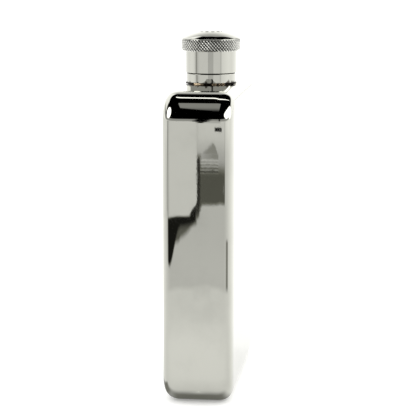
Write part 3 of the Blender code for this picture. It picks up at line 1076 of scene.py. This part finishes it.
def studio_level(tree):
    """The studio as the polished metal mirrors it, by direction: walls, a bright
    backdrop, two softboxes, a lamp and a window, and darkness below the horizon."""
    direction = node(tree, "ShaderNodeTexCoord").outputs["Generated"]
    x, y, z = node(tree, "ShaderNodeSeparateXYZ", {0: direction}).outputs
    azimuth = degrees_around(tree, maths(tree, "MULTIPLY", x, -1.0), y)
    elevation = maths(tree, "DEGREES", maths(tree, "ARCSINE", z))
    level = wall_level(tree, azimuth, elevation)
    level = add_backdrop(tree, level, x, y, z)
    level = add_softboxes(tree, level, azimuth, elevation)
    level = add_ceiling_lights(tree, level, x, y, z)
    return product(tree, level, remap(tree, z, *HORIZON_EDGE))


def build_world():
    """Plain white for the camera and the floor, and the studio for gloss."""
    world = bpy.data.worlds.new("studio")
    bpy.context.scene.world = world
    world.use_nodes = True
    tree = world.node_tree
    path = node(tree, "ShaderNodeLightPath")
    plain = maths(tree, "MULTIPLY_ADD", path.outputs["Is Diffuse Ray"], DAYLIGHT - 1.0, 1.0)
    strength = over(tree, plain, path.outputs["Is Glossy Ray"], studio_level(tree))
    background = tree.nodes["Background"]
    background.inputs["Color"].default_value = STUDIO_TINT
    tree.links.new(strength, background.inputs["Strength"])


def table_level(tree, azimuth, reach):
    """The bright tabletop: it loses light step by step towards the camera, and
    gains some beside and behind the flask."""
    aside = maths(tree, "ABSOLUTE", azimuth)
    near = TABLE_LEVEL
    for loss in TABLE_LOSSES:
        near = maths(tree, "SUBTRACT", near, remap(tree, reach, *loss))
    near = over(tree, near, remap(tree, reach, *TABLE_FADE), TABLE_FADE_LEVEL)
    beside = remap(tree, aside, *BESIDE_SHADING)
    distant = product(tree, remap(tree, reach, *DISTANT_REACH), remap(tree, aside, *DISTANT_TURN))
    beside = over(tree, beside, distant, DISTANT_LEVEL)
    return over(tree, near, remap(tree, aside, *BESIDE_TURN), beside)


def past_table_end(tree, azimuth, reach, left_half):
    """A share that is 1 past the tabletop's end on the camera's side. The end
    bends towards the flask to the left of the room."""
    past_bend = maths(tree, "MULTIPLY_ADD", azimuth, END_BEND_SLOPE, END_BEND_START)
    bend = maths(tree, "EXPONENT", maths(tree, "MINIMUM", past_bend, 0.0))
    bent_reach = maths(tree, "MULTIPLY_ADD", bend, END_BEND_REACH, reach)
    end = over(tree, remap(tree, azimuth, *END_RIGHT), left_half, END_LEFT)
    past = remap(tree, maths(tree, "SUBTRACT", bent_reach, end), *END_EDGE)
    return product(tree, past, band(tree, azimuth, *AHEAD_TURN))


def painted_shadow_wedge(tree, ahead, y, azimuth):
    """A painted shadow on the floor: the black wedge that narrows down the left side of the mirror
    image.
    """
    aslant = maths(tree, "MULTIPLY", y, math.sin(WEDGE_SLANT))
    slant = maths(tree, "MULTIPLY_ADD", ahead, math.cos(WEDGE_SLANT), aslant)
    return product(
        tree,
        remap(tree, slant, *WEDGE_EDGE),
        remap(tree, azimuth, *WEDGE_START),
        remap(tree, azimuth, *WEDGE_STOP),
    )


def room_level(tree, azimuth, reach):
    """The dim room: it brightens outwards, with bars, a slab and a pointed
    shadow on it, a dim upright mass at its end and one black spot."""
    room = maths(tree, "ADD", remap(tree, reach, *ROOM_NEAR), remap(tree, reach, *ROOM_FAR))
    bars = maths(tree, "SINE", maths(tree, "MULTIPLY", reach, BARS_PACE))
    bars = product(tree, bars, patch(tree, reach, BARS_REACH, azimuth, BARS_TURN))
    room = maths(tree, "MULTIPLY_ADD", bars, BARS_LEVEL, room)
    slab = patch(tree, azimuth, SLAB_TURN, reach, SLAB_REACH)
    right = remap(tree, reach, *POINT_REACH[:2], *POINT_RIGHT, smooth=False)
    left = remap(tree, reach, *POINT_REACH[:2], *POINT_LEFT, smooth=False)
    point = product(
        tree,
        remap(tree, maths(tree, "SUBTRACT", azimuth, right), *POINT_RIGHT_EDGE),
        remap(tree, maths(tree, "SUBTRACT", azimuth, left), *POINT_LEFT_EDGE),
        band(tree, reach, *POINT_REACH),
    )
    room = over(tree, room, maths(tree, "MAXIMUM", slab, point), POINT_LEVEL)
    figure = product(tree, band(tree, azimuth, *FIGURE_TURN), remap(tree, reach, *FIGURE_REACH))
    room = over(tree, room, figure, FIGURE_LEVEL)
    spot = patch(tree, azimuth, SPOT_TURN, reach, SPOT_REACH)
    return over(tree, room, spot, 0.0)


def add_pane(tree, level, azimuth, reach):
    """Lays a pale pane with one rounded corner over a level, with the dark
    frame along its side and the dark gap beyond the frame."""
    aside = maths(tree, "ABSOLUTE", azimuth)
    corner = remap(tree, reach, *PANE_CORNER)
    pane = product(
        tree,
        remap(tree, maths(tree, "SUBTRACT", azimuth, corner), *PANE_SIDE_EDGE),
        remap(tree, reach, *PANE_FOOT),
        remap(tree, aside, *PANE_FADE),
    )
    level = over(tree, level, pane, PANE_LEVEL)
    edge = product(
        tree,
        remap(tree, azimuth, *FRAME_RIGHT),
        remap(tree, azimuth, *FRAME_LEFT),
        band(tree, reach, *FRAME_REACH),
    )
    gap = product(tree, band(tree, azimuth, *GAP_TURN), remap(tree, reach, *GAP_REACH))
    return over(tree, over(tree, level, edge, FRAME_LEVEL), gap, 0.0)


def add_side_lines(tree, level, azimuth, reach):
    """Lays a slanting stand and a cable over a level, as thin dark lines."""
    turn = maths(tree, "ADD", azimuth, remap(tree, reach, *STAND_PLACE))
    stand = product(tree, band(tree, turn, *STAND_WIDTH), remap(tree, reach, *STAND_REACH))
    level = over(tree, level, stand, STAND_LEVEL)
    cable = patch(tree, azimuth, CABLE_TURN, reach, CABLE_REACH)
    return over(tree, level, cable, CABLE_LEVEL)


def add_close_shade(tree, level, x, y):
    """Darkens a level close under the flask's rounded end and beside it."""
    under = patch(tree, x, UNDER_X, y, UNDER_Y)
    side = product(
        tree,
        remap(tree, x, *SIDE_X_START),
        remap(tree, x, *SIDE_X_STOP),
        band(tree, y, *SIDE_Y),
    )
    return over(tree, over(tree, level, under, UNDER_LEVEL), side, SIDE_LEVEL)


def floor_level(tree, place):
    """The floor as the metal mirrors it: a bright tabletop around the flask,
    and past its end the dim room on the right and the pale pane on the left."""
    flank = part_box("front_shell")[0].x
    x, y, _ = node(tree, "ShaderNodeSeparateXYZ", {0: place}).outputs
    ahead = maths(tree, "MULTIPLY_ADD", x, -1.0, flank)
    squares = maths(tree, "MULTIPLY_ADD", ahead, ahead, maths(tree, "MULTIPLY", y, y))
    reach = maths(tree, "SQRT", squares)
    azimuth = degrees_around(tree, ahead, y)
    left_half = remap(tree, azimuth, *SEAM)
    right_half = maths(tree, "SUBTRACT", 1.0, left_half)
    past_end = past_table_end(tree, azimuth, reach, left_half)
    level = over(tree, table_level(tree, azimuth, reach), past_end, END_LEVEL)
    level = over(tree, level, painted_shadow_wedge(tree, ahead, y, azimuth), WEDGE_LEVEL)
    room = room_level(tree, azimuth, reach)
    level = over(tree, level, product(tree, right_half, past_end), room)
    level = add_pane(tree, level, azimuth, reach)
    level = add_side_lines(tree, level, azimuth, reach)
    return add_close_shade(tree, level, x, y)


def build_floor():
    """The pale floor, faintly lit from below like a light table. Polished
    metal sees it with its shading and with the room past its end, which the
    camera never sees itself. Its dark parts are a little warm."""
    bpy.ops.mesh.primitive_circle_add(vertices=FLOOR_SIDES, radius=FLOOR_RADIUS, fill_type="NGON")
    floor = bpy.context.object
    floor.name = "floor"
    material, tree, shader, place = new_material("floor_paper")
    path = node(tree, "ShaderNodeLightPath")
    mirrored = path.outputs["Is Glossy Ray"]
    level = over(tree, 1.0, mirrored, floor_level(tree, place))
    white = over(tree, FLOOR_WHITE, mirrored, (1 - FLOOR_GLOW) / DAYLIGHT)
    glow = over(tree, FLOOR_GLOW * SEEN_GLOW_SHARE, mirrored, FLOOR_GLOW)
    tint = blend(tree, remap(tree, level, *WARM_RANGE), WARM_SHADE, (1, 1, 1, 1))
    inputs = {0: tint, "Scale": product(tree, level, white)}
    paper = node(tree, "ShaderNodeVectorMath", inputs, operation="SCALE")
    tree.links.new(paper.outputs[0], shader.inputs["Base Color"])
    tree.links.new(tint, shader.inputs["Emission Color"])
    tree.links.new(product(tree, level, glow), shader.inputs["Emission Strength"])
    shader.inputs["Roughness"].default_value = 1.0
    shader.inputs["Specular IOR Level"].default_value = 0.0
    floor.data.materials.append(material)


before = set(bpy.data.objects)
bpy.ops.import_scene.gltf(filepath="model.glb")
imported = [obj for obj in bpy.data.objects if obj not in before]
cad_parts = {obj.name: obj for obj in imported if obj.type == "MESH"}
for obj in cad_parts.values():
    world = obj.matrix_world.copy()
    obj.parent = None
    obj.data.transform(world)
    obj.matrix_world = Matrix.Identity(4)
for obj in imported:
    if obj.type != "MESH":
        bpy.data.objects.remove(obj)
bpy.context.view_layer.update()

shoulder = build_body(polished_metal("body_metal", wave=BODY_WAVE))
build_spout(shoulder)
collar_radius = build_collar(shoulder)
build_bead(shoulder, collar_radius)
skirt_radius = build_skirt(shoulder)
rim_top = build_rim(shoulder, skirt_radius)
build_crown(shoulder, rim_top)
build_insert(shoulder)
dress_hidden(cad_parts)

build_camera()
build_world()
build_floor()
bpy.context.scene.view_settings.view_transform = "Standard"
